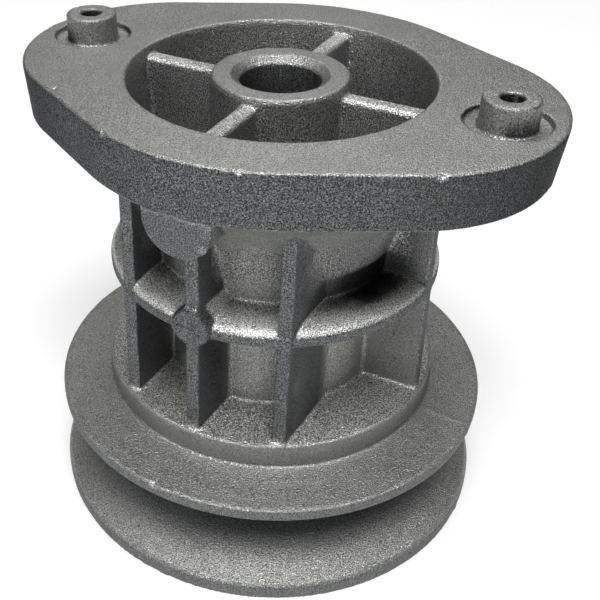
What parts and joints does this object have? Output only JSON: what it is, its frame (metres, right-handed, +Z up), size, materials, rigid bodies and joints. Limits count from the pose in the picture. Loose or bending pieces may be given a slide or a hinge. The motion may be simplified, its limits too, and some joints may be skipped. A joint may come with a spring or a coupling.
{
  "type": "mower blade holder",
  "caption": "Cast blade holder with a lens-shaped blade seat, locating pegs, a spoked pocket, a ribbed barrel and a V-belt pulley on one axis.",
  "frame": {"origin": "on the shaft axis, at the pulley's bottom face", "axes": "+X towards one of the blade pegs, +Y towards the back of the casting (the ejector pads are on the front), +Z up along the shaft axis to the blade seat"},
  "size_m": [0.0804, 0.0718, 0.0737],
  "materials": {
    "casting": "as-cast die-cast aluminium, evenly blasted, with a fine bright grain"
  },
  "bodies": {
    "root": {"blade_holder": "casting"}
  },
  "joints": []
}
